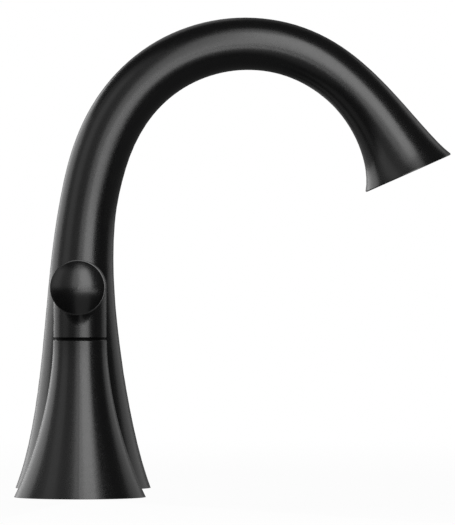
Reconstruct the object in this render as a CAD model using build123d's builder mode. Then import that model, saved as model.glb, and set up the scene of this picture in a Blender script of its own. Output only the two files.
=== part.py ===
from build123d import *
import math
import os

os.makedirs("parts", exist_ok=True)

# Widespread basin faucet in millimetres, Z up.
# The deck's top face is z = 0 and the spout stands on the Z axis and reaches along +X.
# The hot valve stands at -Y and the cold valve at +Y.

# Layout on the basin deck
handle_spacing = 203.2
deck_thickness = 22.0

# Clearances between pieces
thread_clearance = 0.05
running_clearance = 0.05
push_clearance = 0.1
hole_clearance = 0.4
end_gap = 0.1
cut_overrun = 1.0

# Spout centreline, as points with a heading and the pull of the curve on both sides
base_pull = 65.0
shoulder_reach = 6.9
shoulder_height = 140.6
shoulder_heading = 72.3
shoulder_pull_below = 37.4
shoulder_pull_above = 38.4
crown_reach = 69.6
crown_height = 189.3
crown_pull_behind = 22.1
crown_pull_ahead = 34.5
outlet_reach = 138.6
outlet_height = 134.4
outlet_heading = -66.1
outlet_pull = 31.8
waterway_pull = 15.9

# Spout girth along that line
spout_base_radius = 28.8
bell_slope_length = 37.5
bell_slope_drop = 14.4
bell_end_pull = 5.0
riser_distance = 122.0
riser_radius = 12.2
riser_pull = 45.0
crown_radius = 11.0
crown_pull = 60.0
nose_length = 51.0
nose_pull = 30.4
outlet_radius = 19.9
outlet_flare_length = 5.3
outlet_flare_depth = 3.4
spout_wall = 2.4

# Number of sections that each stretch of the spout is lofted through
bell_count = 8
riser_count = 12
nose_count = 8
hollow_count = 5
waterway_count = 20

# Bell at the foot of the spout
bell_wall = 3.4
bulkhead_bottom = 30.0
bulkhead_thickness = 15.0
foot_recess_radius = 25.2
foot_recess_depth = 5.0
spout_gasket_thickness = 1.8
spout_gasket_bore = 15.0

# Mouth of the spout and the aerator in it
mouth_rim_radius = 18.3
mouth_floor_radius = 11.6
mouth_depth = 6.5
mouth_rim_pull = 2.5
mouth_floor_pull = 2.0
aerator_radius = 9.25
aerator_bore_depth = 12.0
aerator_wall = 1.6
aerator_lip = 0.9
aerator_lip_thickness = 0.8
aerator_keys = 4
aerator_key_width = 2.6
aerator_key_depth = 0.6
aerator_washer_thickness = 1.8
aerator_washer_bore = 6.4
insert_rim = 0.9
honeycomb_thickness = 2.6
honeycomb_cell = 2.3
honeycomb_bar = 0.45
diffuser_rim_height = 2.0
diffuser_thickness = 1.6
diffuser_slots = 12
diffuser_slot_circle = 4.3
diffuser_slot_width = 0.9
diffuser_slot_length = 2.8
restrictor_thickness = 2.0
restrictor_holes = 6
restrictor_hole_radius = 0.8
restrictor_circle = 3.6

# Spout shank and what clamps it under the deck
spout_shank_radius = 10.45
spout_shank_bore = 6.0
spout_shank_tail = 20.0
spout_shank_entry = 12.0
spout_collar_flats = 27.0
spout_collar_height = 6.0
spout_seal_thickness = 2.0
spout_seal_radius = 13.4
spout_washer_radius = 22.0
spout_nut_flats = 32.0

# Hose ports of the tee and the valves, turned back from the line between the valves
hose_port_radius = 7.14
port_shoulder_radius = 9.0
tee_port_turn = 30.0
valve_port_turn = 45.0

# Inlet tee on the end of the shank
tee_radius = 14.5
tee_grip = 12.0
tee_length = 28.0
tee_port_drop = 6.0
tee_port_shoulder = 17.5
tee_port_reach = 34.0
tee_port_bore = 3.6
tee_seal_thickness = 2.0

# Valve body, its inlet and its outlet port
valve_shank_radius = 14.0
valve_shank_tail = 6.5
valve_shank_top = 10.0
valve_collar_radius = 13.0
valve_collar_top = 30.0
valve_neck_radius = 10.5
valve_neck_top = 43.4
wrench_flats = 24.0
wrench_height = 6.0
inlet_radius = 10.45
inlet_length = 20.0
inlet_bore = 5.0
valve_port_gap = 0.5
valve_port_shoulder = 17.0
valve_port_reach = 36.0
valve_port_bore = 3.6
outlet_passage_radius = 2.3
outlet_passage_offset = 9.2
chamber_radius = 10.0
chamber_floor = 12.0
chamber_top = 28.0
seat_radius = 6.85
seat_height = 2.0

# Cartridge in the valve body
seat_seal_bore = 5.8
seat_seal_thickness = 2.0
disc_radius = 7.1
disc_thickness = 3.0
port_circle = 4.0
port_width = 3.0
port_sweep = 32.0
disc_key_width = 2.0
disc_key_depth = 0.9
driver_width = 4.0
driver_depth = 1.2
driver_height = 5.0
thrust_collar_height = 2.9
stem_radius = 5.0
bonnet_wall = 1.1
bonnet_skirt_drop = 1.4
bonnet_flats = 17.0
bonnet_flats_height = 5.0
bonnet_neck_radius = 7.0
bonnet_neck_top = 62.0
bonnet_window_width = 7.0
bonnet_washer_thickness = 1.0
bonnet_washer_rim = 10.4
stem_seal_height = 39.5
stem_seal_thickness = 3.0
stem_seal_depth = 1.5
stem_clip_thickness = 1.0
stem_clip_depth = 0.8
stem_clip_rim = 6.5
stem_clip_opening = 5.0

# Splined end of the stem
spline_radius = 4.0
spline_bottom = 64.0
spline_top = 82.0
spline_teeth = 20
spline_tooth_depth = 0.5
screw_groove_depth = 0.7
screw_groove_width = 4.4

# Skirt round the valve, the deck seal and the nut under it
skirt_radius = 27.0
skirt_top_radius = 11.0
skirt_height = 64.4
skirt_flare_radius = 105.0
skirt_flare_turn = 6.4
skirt_wall = 1.8
skirt_web_bottom = 33.0
skirt_web_thickness = 6.0
valve_gasket_thickness = 1.6
valve_gasket_radius = 22.0
valve_washer_radius = 24.0
valve_nut_flats = 36.0
top_nut_thickness = 5.0

# Clamping stack below the deck
friction_washer_thickness = 2.5
steel_washer_thickness = 1.5
mounting_nut_thickness = 10.0
nut_flange_thickness = 2.0
nut_flange_overhang = 1.2

# Lever handle
seam_gap = 0.8
hub_radius = 10.85
lever_height = 86.1
hub_recess_radius = 8.0
hub_recess_depth = 3.0
socket_end_gap = 1.0
edge_break = 0.35
glide_ring_length = 5.0
glide_ring_wall = 1.9
glide_flange_radius = 10.2
lever_root_radius = 6.4
lever_waist_radius = 5.0
lever_waist_distance = 26.7
lever_flare_radius = 193.0
lever_flare_turn = 5.7
lever_rim_distance = 65.0
lever_rim_radius = 10.76
lever_rim_width = 0.7
lever_dome_height = 4.2
lever_blend_radius = 11.0
handle_screw_height = 72.0
handle_screw_radius = 2.0
handle_screw_recess = 0.6
handle_screw_key = 2.0
handle_screw_key_depth = 2.5

# Places worked out from the sizes above
valve_offset = handle_spacing / 2
bulkhead_top = bulkhead_bottom + bulkhead_thickness
spout_seal_bottom = bulkhead_bottom - spout_seal_thickness
clamp_top = -deck_thickness
friction_washer_bottom = clamp_top - friction_washer_thickness
steel_washer_bottom = friction_washer_bottom - steel_washer_thickness
nut_bottom = steel_washer_bottom - mounting_nut_thickness
spout_shank_bottom = nut_bottom - spout_shank_tail
valve_port_height = nut_bottom - valve_port_gap - port_shoulder_radius
valve_shank_bottom = valve_port_height - valve_shank_tail
seat_top = chamber_floor + seat_height
fixed_disc_bottom = seat_top + seat_seal_thickness
moving_disc_bottom = fixed_disc_bottom + disc_thickness
moving_disc_top = moving_disc_bottom + disc_thickness
driver_top = moving_disc_top + driver_height
thrust_collar_top = driver_top + thrust_collar_height
bonnet_shoulder = thrust_collar_top + end_gap
bonnet_bore = disc_radius + push_clearance
bonnet_radius = bonnet_bore + bonnet_wall
bonnet_skirt_bottom = fixed_disc_bottom - bonnet_skirt_drop
disc_key_tip = disc_radius - disc_key_depth + push_clearance
bonnet_thread_bore = bonnet_radius + thread_clearance
bonnet_flats_bottom = valve_neck_top + bonnet_washer_thickness
bonnet_flats_top = bonnet_flats_bottom + bonnet_flats_height
hub_bottom = skirt_height + seam_gap
skirt_throat = skirt_top_radius - skirt_wall
stem_clip_bottom = bonnet_neck_top + end_gap
handle_screw_tip = spline_radius - screw_groove_depth


def write_piece(piece, name):
    piece.part.label = name
    export_step(piece.part, f"parts/{name}.step")


def along(heading):
    return Vector(math.cos(math.radians(heading)), 0, math.sin(math.radians(heading)))


def bend(start, start_heading, start_pull, end, end_heading, end_pull):
    leaving = start + along(start_heading) * start_pull
    arriving = end - along(end_heading) * end_pull
    return Bezier(start, leaving, arriving, end)


def ring(plane, bottom, thickness, bore, radius):
    with BuildPart() as washer:
        with BuildSketch(plane.offset(bottom)):
            Circle(radius)
            Circle(bore, mode=Mode.SUBTRACT)
        extrude(amount=thickness)
    return washer


def flanged_nut(plane, bore, flats):
    flange_radius = flats / 2 / math.cos(math.pi / 6) + nut_flange_overhang
    with BuildPart() as nut:
        with BuildSketch(plane.offset(steel_washer_bottom)):
            Circle(flange_radius)
        extrude(amount=-nut_flange_thickness)
        with BuildSketch(plane.offset(steel_washer_bottom)):
            RegularPolygon(flats / 2, 6, major_radius=False)
        extrude(amount=-mounting_nut_thickness)
        with BuildSketch(plane.offset(steel_washer_bottom)):
            Circle(bore)
        extrude(amount=-mounting_nut_thickness, mode=Mode.SUBTRACT)
    return nut


def port_plane(centre, turn, way):
    heading = (-math.sin(math.radians(turn)), way * math.cos(math.radians(turn)), 0)
    return Plane(origin=centre, x_dir=(0, 0, 1), z_dir=heading)


# Spout centreline in the XZ plane, and the waterway's, whose nose ends square to the aerator
foot = Vector(0, 0, 0)
shoulder = Vector(shoulder_reach, 0, shoulder_height)
crown = Vector(crown_reach, 0, crown_height)
outlet = Vector(outlet_reach, 0, outlet_height)
aerator_seat_depth = mouth_depth + aerator_bore_depth
waterway_end = outlet - along(outlet_heading) * aerator_seat_depth

with BuildLine(Plane.XZ) as centreline:
    bend(foot, 90, base_pull, shoulder, shoulder_heading, shoulder_pull_below)
    bend(shoulder, shoulder_heading, shoulder_pull_above, crown, 0, crown_pull_behind)
    bend(crown, 0, crown_pull_ahead, outlet, outlet_heading, outlet_pull)

with BuildLine(Plane.XZ) as waterline:
    bend(foot, 90, base_pull, shoulder, shoulder_heading, shoulder_pull_below)
    bend(shoulder, shoulder_heading, shoulder_pull_above, crown, 0, crown_pull_behind)
    bend(crown, 0, crown_pull_ahead, waterway_end, outlet_heading, waterway_pull)

spout_line = centreline.wire()
water_line = waterline.wire()
nose_start = spout_line.length - nose_length

# Girth curves, with the distance along the centreline as X and the radius there as Y
with BuildLine():
    bell_girth = Bezier(
        (0, spout_base_radius),
        (bell_slope_length, spout_base_radius - bell_slope_drop),
        (riser_distance - bell_end_pull, riser_radius),
        (riser_distance, riser_radius),
    )
    riser_girth = Bezier(
        (riser_distance, riser_radius),
        (riser_distance + riser_pull, riser_radius),
        (nose_start - crown_pull, crown_radius),
        (nose_start, crown_radius),
    )
    nose_girth = Bezier(
        (nose_start, crown_radius),
        (nose_start + nose_pull, crown_radius),
        (spout_line.length - outlet_flare_length, outlet_radius - outlet_flare_depth),
        (spout_line.length, outlet_radius),
    )


def stations(girth, count):
    return [girth @ (step / count) for step in range(count)]


def girth_at(distance):
    girth = bell_girth if distance < riser_distance else riser_girth
    return girth.find_intersection_points(Axis((distance, 0, 0), (0, 1, 0)))[0].Y


def water_radius(distance):
    return (girth_at(distance) if distance < nose_start else crown_radius) - spout_wall


def square_to(line, distance):
    place = line.position_at(distance, position_mode=PositionMode.LENGTH)
    heading = line.tangent_at(distance, position_mode=PositionMode.LENGTH)
    return Plane(origin=place, x_dir=(0, 1, 0), z_dir=heading)


def evenly(start, end, count):
    return [start + (end - start) * step / count for step in range(count + 1)]


spout_stations = stations(bell_girth, bell_count)
spout_stations += stations(riser_girth, riser_count)
spout_stations += stations(nose_girth, nose_count)
spout_stations.append(nose_girth @ 1)

# Outlet plane, whose normal is the outlet's axis, and a plane that holds that axis
across = Vector(0, 1, 0)
outlet_course = along(outlet_heading)
outlet_plane = Plane(origin=outlet, x_dir=across, z_dir=outlet_course)
outlet_section = Plane(origin=outlet, x_dir=across, z_dir=across.cross(outlet_course))
outlet_axis = Axis(outlet, outlet_course)

with BuildPart() as spout_body:
    for station in spout_stations:
        with BuildSketch(square_to(spout_line, station.X)):
            Circle(station.Y)
    loft()
    for height in evenly(0, bulkhead_bottom, hollow_count):
        centre = spout_line.position_at(height, position_mode=PositionMode.LENGTH)
        with BuildSketch(Plane.XY.offset(height)):
            with Locations((centre.X, 0)):
                Circle(girth_at(height) - bell_wall)
    loft(mode=Mode.SUBTRACT)
    for distance in evenly(bulkhead_top, water_line.length, waterway_count):
        with BuildSketch(square_to(water_line, distance)):
            Circle(water_radius(distance))
    loft(mode=Mode.SUBTRACT)
    with BuildSketch(Plane.XY):
        Circle(foot_recess_radius)
    extrude(amount=foot_recess_depth, mode=Mode.SUBTRACT)
    with BuildSketch(Plane.XY):
        Circle(spout_shank_radius + thread_clearance)
    extrude(amount=bulkhead_top + cut_overrun, mode=Mode.SUBTRACT)
    with BuildSketch(outlet_section):
        with BuildLine():
            throat = Bezier(
                (mouth_rim_radius, 0),
                (mouth_rim_radius - mouth_rim_pull, -mouth_rim_pull),
                (mouth_floor_radius, mouth_floor_pull - mouth_depth),
                (mouth_floor_radius, -mouth_depth),
            )
            Polyline(throat @ 1, (0, -mouth_depth), (0, 0), throat @ 0)
        make_face()
    revolve(axis=outlet_axis, mode=Mode.SUBTRACT)
    with BuildSketch(outlet_plane.offset(-mouth_depth)):
        Circle(aerator_radius + thread_clearance)
    extrude(amount=-aerator_bore_depth, mode=Mode.SUBTRACT)
write_piece(spout_body, "spout_body")

# Base plate and gasket, recessed in the foot of the bell
spout_base_plate = ring(
    Plane.XY,
    spout_gasket_thickness,
    foot_recess_depth - spout_gasket_thickness,
    spout_shank_radius + hole_clearance,
    foot_recess_radius - push_clearance,
)
write_piece(spout_base_plate, "spout_base_plate")

spout_base_gasket = ring(
    Plane.XY,
    0,
    spout_gasket_thickness,
    spout_gasket_bore,
    foot_recess_radius - push_clearance,
)
write_piece(spout_base_gasket, "spout_base_gasket")

# Threaded shank with a hexagon collar that pulls the seal against the bulkhead
spout_shank_top = bulkhead_bottom + spout_shank_entry
with BuildPart() as spout_shank:
    with BuildSketch(Plane.XY.offset(spout_shank_bottom)):
        Circle(spout_shank_radius)
    extrude(amount=spout_shank_top - spout_shank_bottom)
    with BuildSketch(Plane.XY.offset(spout_seal_bottom)):
        RegularPolygon(spout_collar_flats / 2, 6, major_radius=False)
    extrude(amount=-spout_collar_height)
    with BuildSketch(Plane.XY.offset(spout_shank_bottom)):
        Circle(spout_shank_bore)
    extrude(amount=spout_shank_top - spout_shank_bottom, mode=Mode.SUBTRACT)
write_piece(spout_shank, "spout_shank")

spout_shank_seal = ring(
    Plane.XY,
    spout_seal_bottom,
    spout_seal_thickness,
    spout_shank_radius + thread_clearance,
    spout_seal_radius,
)
write_piece(spout_shank_seal, "spout_shank_seal")


def clamp_stack(plane, shank_radius, washer_radius, nut_flats, prefix):
    hole = shank_radius + hole_clearance
    friction_washer = ring(
        plane,
        friction_washer_bottom,
        friction_washer_thickness,
        hole,
        washer_radius,
    )
    write_piece(friction_washer, f"{prefix}_friction_washer")
    steel_washer = ring(plane, steel_washer_bottom, steel_washer_thickness, hole, washer_radius)
    write_piece(steel_washer, f"{prefix}_steel_washer")
    mounting_nut = flanged_nut(plane, shank_radius + thread_clearance, nut_flats)
    write_piece(mounting_nut, f"{prefix}_mounting_nut")


clamp_stack(Plane.XY, spout_shank_radius, spout_washer_radius, spout_nut_flats, "spout")

# Tee that screws on the shank and takes the hose from each valve
tee_top = spout_shank_bottom + tee_grip
tee_shoulder = spout_shank_bottom - tee_seal_thickness
tee_port_height = spout_shank_bottom - tee_port_drop
tee_ports = [port_plane((0, 0, tee_port_height), tee_port_turn, way) for way in (-1, 1)]
with BuildPart() as spout_inlet_tee:
    with BuildSketch(Plane.XY.offset(tee_top)):
        Circle(tee_radius)
    extrude(amount=-tee_length)
    with BuildSketch(*tee_ports):
        Circle(port_shoulder_radius)
    extrude(amount=tee_port_shoulder)
    with BuildSketch(*tee_ports):
        Circle(hose_port_radius)
    extrude(amount=tee_port_reach)
    with BuildSketch(*tee_ports):
        Circle(tee_port_bore)
    extrude(amount=tee_port_reach, mode=Mode.SUBTRACT)
    with BuildSketch(Plane.XY.offset(tee_top)):
        Circle(spout_shank_bore)
    extrude(amount=tee_port_height - tee_top, mode=Mode.SUBTRACT)
    with BuildSketch(Plane.XY.offset(tee_top)):
        Circle(spout_shank_radius + thread_clearance)
    extrude(amount=tee_shoulder - tee_top, mode=Mode.SUBTRACT)
write_piece(spout_inlet_tee, "spout_inlet_tee")

tee_seal = ring(Plane.XY, tee_shoulder, tee_seal_thickness, spout_shank_bore, spout_shank_radius)
write_piece(tee_seal, "tee_seal")

# Aerator, screwed into the mouth: heights here run outwards from the mouth's floor
aerator_plane = outlet_plane.offset(-mouth_depth)
aerator_length = aerator_bore_depth - aerator_washer_thickness
insert_bore = aerator_radius - aerator_wall
insert_radius = insert_bore - running_clearance
honeycomb_top = -aerator_lip_thickness
diffuser_top = honeycomb_top - honeycomb_thickness
diffuser_height = diffuser_rim_height + diffuser_thickness
restrictor_top = diffuser_top - diffuser_height
restrictor_height = aerator_length + restrictor_top

with BuildPart() as aerator_housing:
    with BuildSketch(aerator_plane):
        Circle(aerator_radius)
    extrude(amount=-aerator_length)
    with BuildSketch(aerator_plane.offset(-aerator_lip_thickness)):
        Circle(insert_bore)
    extrude(amount=aerator_lip_thickness - aerator_length, mode=Mode.SUBTRACT)
    with BuildSketch(aerator_plane):
        Circle(insert_bore - aerator_lip)
    extrude(amount=-aerator_lip_thickness, mode=Mode.SUBTRACT)
    with BuildSketch(aerator_plane):
        with PolarLocations(0, aerator_keys):
            Rectangle(
                aerator_radius + cut_overrun,
                aerator_key_width,
                align=(Align.MIN, Align.CENTER),
            )
    extrude(amount=-aerator_key_depth, mode=Mode.SUBTRACT)
write_piece(aerator_housing, "aerator_housing")

# Honeycomb of hexagon cells, as many whole cells as the disc holds
honeycomb_reach = insert_radius - aerator_lip - honeycomb_cell / math.sqrt(3)
honeycomb_rows = 2 * math.ceil(insert_radius / honeycomb_cell) + 1
with BuildPart() as aerator_honeycomb:
    with BuildSketch(aerator_plane.offset(honeycomb_top)):
        Circle(insert_radius)
        pitch = (honeycomb_cell + honeycomb_bar) / 2
        grid = HexLocations(pitch, honeycomb_rows, honeycomb_rows, major_radius=False)
        centres = [place for place in grid.local_locations if place.position.length < honeycomb_reach]
        with Locations(*centres):
            RegularPolygon(honeycomb_cell / 2, 6, major_radius=False, mode=Mode.SUBTRACT)
    extrude(amount=-honeycomb_thickness)
write_piece(aerator_honeycomb, "aerator_honeycomb")

with BuildPart() as aerator_diffuser:
    with BuildSketch(aerator_plane.offset(diffuser_top)):
        Circle(insert_radius)
    extrude(amount=-diffuser_height)
    with BuildSketch(aerator_plane.offset(diffuser_top)):
        Circle(insert_radius - insert_rim)
    extrude(amount=-diffuser_rim_height, mode=Mode.SUBTRACT)
    with BuildSketch(aerator_plane.offset(diffuser_top)):
        with PolarLocations(diffuser_slot_circle, diffuser_slots):
            Rectangle(diffuser_slot_length, diffuser_slot_width)
    extrude(amount=-diffuser_height, mode=Mode.SUBTRACT)
write_piece(aerator_diffuser, "aerator_diffuser")

with BuildPart() as aerator_restrictor:
    with BuildSketch(aerator_plane.offset(restrictor_top)):
        Circle(insert_radius)
    extrude(amount=-restrictor_height)
    with BuildSketch(aerator_plane.offset(restrictor_top)):
        Circle(insert_radius - insert_rim)
    extrude(amount=restrictor_thickness - restrictor_height, mode=Mode.SUBTRACT)
    with BuildSketch(aerator_plane.offset(restrictor_top)):
        with PolarLocations(restrictor_circle, restrictor_holes):
            Circle(restrictor_hole_radius)
    extrude(amount=-restrictor_height, mode=Mode.SUBTRACT)
write_piece(aerator_restrictor, "aerator_restrictor")

aerator_washer = ring(
    aerator_plane,
    -aerator_bore_depth,
    aerator_washer_thickness,
    aerator_washer_bore,
    aerator_radius,
)
write_piece(aerator_washer, "aerator_washer")


def skirt_outline(inset):
    top = (skirt_top_radius - inset, skirt_height)
    throat_arc = JernArc(top, (0, -1), skirt_flare_radius, skirt_flare_turn)
    foot_arc = TangentArc(throat_arc @ 1, (skirt_radius - inset, 0), tangent=throat_arc % 1)
    Polyline(foot_arc @ 1, (0, 0), (0, skirt_height), top)


# Hot and cold sides are alike: each local X axis points away from the spout
for side, outward in (("hot", -1), ("cold", 1)):
    foot_centre = Vector(0, outward * valve_offset, 0)
    away = Vector(0, outward, 0)
    level = Plane(origin=foot_centre, x_dir=away, z_dir=(0, 0, 1))
    section = Plane(origin=foot_centre, x_dir=away, z_dir=(outward, 0, 0))
    valve_axis = Axis(foot_centre, (0, 0, 1))
    lever_axis = Axis(foot_centre + Vector(0, 0, lever_height), away)
    port_centre = foot_centre + Vector(0, 0, valve_port_height)
    port = port_plane(port_centre, valve_port_turn, -outward)
    screw_centre = foot_centre + Vector(0, 0, handle_screw_height)
    screw_plane = Plane(origin=screw_centre, x_dir=away, z_dir=(-1, 0, 0))

    # Valve body: shank, wrench flats, inlet nipple, hose port and the drillings between them
    inlet_bottom = valve_shank_bottom - wrench_height - inlet_length
    with BuildPart() as valve_body:
        with BuildSketch(section):
            with BuildLine():
                Polyline(
                    (0, inlet_bottom),
                    (inlet_radius, inlet_bottom),
                    (inlet_radius, valve_shank_bottom),
                    (valve_shank_radius, valve_shank_bottom),
                    (valve_shank_radius, valve_shank_top),
                    (valve_collar_radius, valve_shank_top),
                    (valve_collar_radius, valve_collar_top),
                    (valve_neck_radius, valve_collar_top),
                    (valve_neck_radius, valve_neck_top),
                    (0, valve_neck_top),
                    close=True,
                )
            make_face()
        revolve(axis=valve_axis)
        with BuildSketch(level.offset(valve_shank_bottom)):
            RegularPolygon(wrench_flats / 2, 6, major_radius=False)
        extrude(amount=-wrench_height)
        with BuildSketch(port):
            Circle(port_shoulder_radius)
        extrude(amount=valve_port_shoulder)
        with BuildSketch(port):
            Circle(hose_port_radius)
        extrude(amount=valve_port_reach)
        with BuildSketch(section):
            with BuildLine():
                Polyline(
                    (0, inlet_bottom),
                    (inlet_bore, inlet_bottom),
                    (inlet_bore, seat_top),
                    (seat_radius, seat_top),
                    (seat_radius, chamber_floor),
                    (chamber_radius, chamber_floor),
                    (chamber_radius, chamber_top),
                    (bonnet_thread_bore, chamber_top),
                    (bonnet_thread_bore, valve_neck_top),
                    (0, valve_neck_top),
                    close=True,
                )
            make_face()
        revolve(axis=valve_axis, mode=Mode.SUBTRACT)
        with BuildSketch(Plane(origin=port.offset(outlet_passage_offset).origin)):
            Circle(outlet_passage_radius)
        extrude(amount=chamber_floor - valve_port_height, mode=Mode.SUBTRACT)
        with BuildSketch(port.offset(outlet_passage_offset)):
            Circle(valve_port_bore)
        extrude(amount=valve_port_reach - outlet_passage_offset, mode=Mode.SUBTRACT)
    write_piece(valve_body, f"{side}_valve_body")

    # Deck gasket and the nut that holds the valve on top of the deck
    deck_gasket = ring(
        level,
        0,
        valve_gasket_thickness,
        valve_shank_radius + hole_clearance,
        valve_gasket_radius,
    )
    write_piece(deck_gasket, f"{side}_deck_gasket")

    with BuildPart() as top_nut:
        with BuildSketch(level.offset(valve_gasket_thickness)):
            RegularPolygon(valve_nut_flats / 2, 6, major_radius=False)
            Circle(valve_shank_radius + thread_clearance, mode=Mode.SUBTRACT)
        extrude(amount=top_nut_thickness)
    write_piece(top_nut, f"{side}_top_nut")

    clamp_stack(level, valve_shank_radius, valve_washer_radius, valve_nut_flats, side)

    # Ceramic discs and the seal under them
    seat_seal = ring(level, seat_top, seat_seal_thickness, seat_seal_bore, seat_radius)
    write_piece(seat_seal, f"{side}_disc_seat_seal")

    port_arc = CenterArc((0, 0), port_circle, -port_sweep / 2, port_sweep)
    with BuildPart() as fixed_disc:
        with BuildSketch(level.offset(fixed_disc_bottom)):
            Circle(disc_radius)
            with PolarLocations(0, 2):
                SlotArc(port_arc, port_width, mode=Mode.SUBTRACT)
            with PolarLocations(disc_radius, 2, start_angle=90):
                Rectangle(2 * disc_key_depth, disc_key_width, mode=Mode.SUBTRACT)
        extrude(amount=disc_thickness)
    write_piece(fixed_disc, f"{side}_fixed_disc")

    with BuildPart() as moving_disc:
        with BuildSketch(level.offset(moving_disc_bottom)):
            Circle(disc_radius)
            with PolarLocations(0, 2, start_angle=90):
                SlotArc(port_arc, port_width, mode=Mode.SUBTRACT)
        extrude(amount=disc_thickness)
        with BuildSketch(level.offset(moving_disc_top)):
            Rectangle(2 * disc_radius, driver_width)
        extrude(amount=-driver_depth, mode=Mode.SUBTRACT)
    write_piece(moving_disc, f"{side}_moving_disc")

    # Bonnet: the cartridge sleeve with its water windows, disc keys and wrench flats
    with BuildPart() as bonnet:
        with BuildSketch(level.offset(bonnet_skirt_bottom)):
            Circle(bonnet_radius)
        extrude(amount=bonnet_flats_bottom - bonnet_skirt_bottom)
        with BuildSketch(level.offset(bonnet_flats_bottom)):
            RegularPolygon(bonnet_flats / 2, 6, major_radius=False)
        extrude(amount=bonnet_flats_height)
        with BuildSketch(level.offset(bonnet_flats_top)):
            Circle(bonnet_neck_radius)
        extrude(amount=bonnet_neck_top - bonnet_flats_top)
        with BuildSketch(level.offset(bonnet_skirt_bottom)):
            Circle(bonnet_bore)
        extrude(amount=bonnet_shoulder - bonnet_skirt_bottom, mode=Mode.SUBTRACT)
        with BuildSketch(level.offset(bonnet_shoulder)):
            Circle(stem_radius + running_clearance)
        extrude(amount=bonnet_neck_top - bonnet_shoulder, mode=Mode.SUBTRACT)
        with BuildSketch(section):
            with Locations((0, (moving_disc_top + driver_top) / 2)):
                Rectangle(2 * bonnet_radius + cut_overrun, driver_height)
        extrude(amount=bonnet_window_width / 2, both=True, mode=Mode.SUBTRACT)
        with BuildSketch(level.offset(fixed_disc_bottom)):
            with PolarLocations(disc_key_tip, 2, start_angle=90):
                Rectangle(
                    bonnet_bore + bonnet_wall / 2 - disc_key_tip,
                    disc_key_width - 2 * push_clearance,
                    align=(Align.MIN, Align.CENTER),
                )
        extrude(amount=disc_thickness - end_gap)
    write_piece(bonnet, f"{side}_cartridge_bonnet")

    bonnet_washer = ring(
        level,
        valve_neck_top,
        bonnet_washer_thickness,
        bonnet_radius + push_clearance,
        bonnet_washer_rim,
    )
    write_piece(bonnet_washer, f"{side}_bonnet_washer")

    # Stem: driver blade, thrust collar, seal and clip grooves, splined end and screw groove
    seal_groove = stem_radius - stem_seal_depth
    seal_top = stem_seal_height + stem_seal_thickness
    clip_groove = stem_radius - stem_clip_depth
    clip_top = stem_clip_bottom + stem_clip_thickness
    screw_groove_bottom = handle_screw_height - screw_groove_width / 2
    screw_groove_top = handle_screw_height + screw_groove_width / 2
    with BuildPart() as stem:
        with BuildSketch(section):
            with BuildLine():
                Polyline(
                    (0, driver_top),
                    (disc_radius, driver_top),
                    (disc_radius, thrust_collar_top),
                    (stem_radius, thrust_collar_top),
                    (stem_radius, stem_seal_height),
                    (seal_groove, stem_seal_height),
                    (seal_groove, seal_top),
                    (stem_radius, seal_top),
                    (stem_radius, stem_clip_bottom),
                    (clip_groove, stem_clip_bottom),
                    (clip_groove, clip_top),
                    (stem_radius, clip_top),
                    (stem_radius, spline_bottom),
                    (spline_radius, spline_bottom),
                    (spline_radius, spline_top),
                    (0, spline_top),
                    close=True,
                )
            make_face()
        revolve(axis=valve_axis)
        with BuildSketch(level.offset(moving_disc_top - driver_depth)):
            Circle(disc_radius)
            Rectangle(2 * disc_radius, driver_width - 2 * running_clearance, mode=Mode.INTERSECT)
        extrude(amount=driver_height + driver_depth)
        with BuildSketch(level.offset(spline_bottom)):
            with PolarLocations(spline_radius, spline_teeth):
                RegularPolygon(spline_tooth_depth, 4)
        extrude(amount=spline_top - spline_bottom, mode=Mode.SUBTRACT)
        with BuildSketch(level.offset(screw_groove_bottom)):
            Circle(stem_radius)
            Circle(handle_screw_tip, mode=Mode.SUBTRACT)
        extrude(amount=screw_groove_width, mode=Mode.SUBTRACT)
    write_piece(stem, f"{side}_cartridge_stem")

    stem_seal = ring(level, stem_seal_height, stem_seal_thickness, seal_groove, stem_radius)
    write_piece(stem_seal, f"{side}_stem_seal")

    with BuildPart() as stem_clip:
        with BuildSketch(level.offset(stem_clip_bottom)):
            Circle(stem_clip_rim)
            Circle(clip_groove, mode=Mode.SUBTRACT)
            Rectangle(
                stem_clip_rim,
                stem_clip_opening,
                align=(Align.MIN, Align.CENTER),
                mode=Mode.SUBTRACT,
            )
        extrude(amount=stem_clip_thickness)
    write_piece(stem_clip, f"{side}_stem_clip")

    # Skirt: a flared shell with a threaded web that screws on the valve's neck
    with BuildPart() as escutcheon:
        with BuildSketch(section):
            with BuildLine():
                skirt_outline(0)
            make_face()
        revolve(axis=valve_axis)
        chamfer(escutcheon.edges().group_by(Axis.Z)[-1], length=edge_break)
        with BuildSketch(section):
            with BuildLine():
                skirt_outline(skirt_wall)
            make_face()
            with Locations((0, skirt_web_bottom)):
                Rectangle(
                    skirt_radius,
                    skirt_web_thickness,
                    align=(Align.MIN, Align.MIN),
                    mode=Mode.SUBTRACT,
                )
        revolve(axis=valve_axis, mode=Mode.SUBTRACT)
        with BuildSketch(level.offset(skirt_web_bottom)):
            Circle(valve_neck_radius + thread_clearance)
        extrude(amount=skirt_web_thickness, mode=Mode.SUBTRACT)
    write_piece(escutcheon, f"{side}_escutcheon")

    # Glide ring in the skirt's throat, with its flange in the seam under the handle
    glide_outside = skirt_throat - push_clearance
    with BuildPart() as glide_ring:
        with BuildSketch(level.offset(skirt_height - glide_ring_length)):
            Circle(glide_outside)
        extrude(amount=glide_ring_length)
        with BuildSketch(level.offset(skirt_height)):
            Circle(glide_flange_radius)
        extrude(amount=seam_gap - running_clearance)
        with BuildSketch(level.offset(skirt_height - glide_ring_length)):
            Circle(glide_outside - glide_ring_wall)
        extrude(amount=glide_ring_length + seam_gap, mode=Mode.SUBTRACT)
    write_piece(glide_ring, f"{side}_glide_ring")

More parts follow.
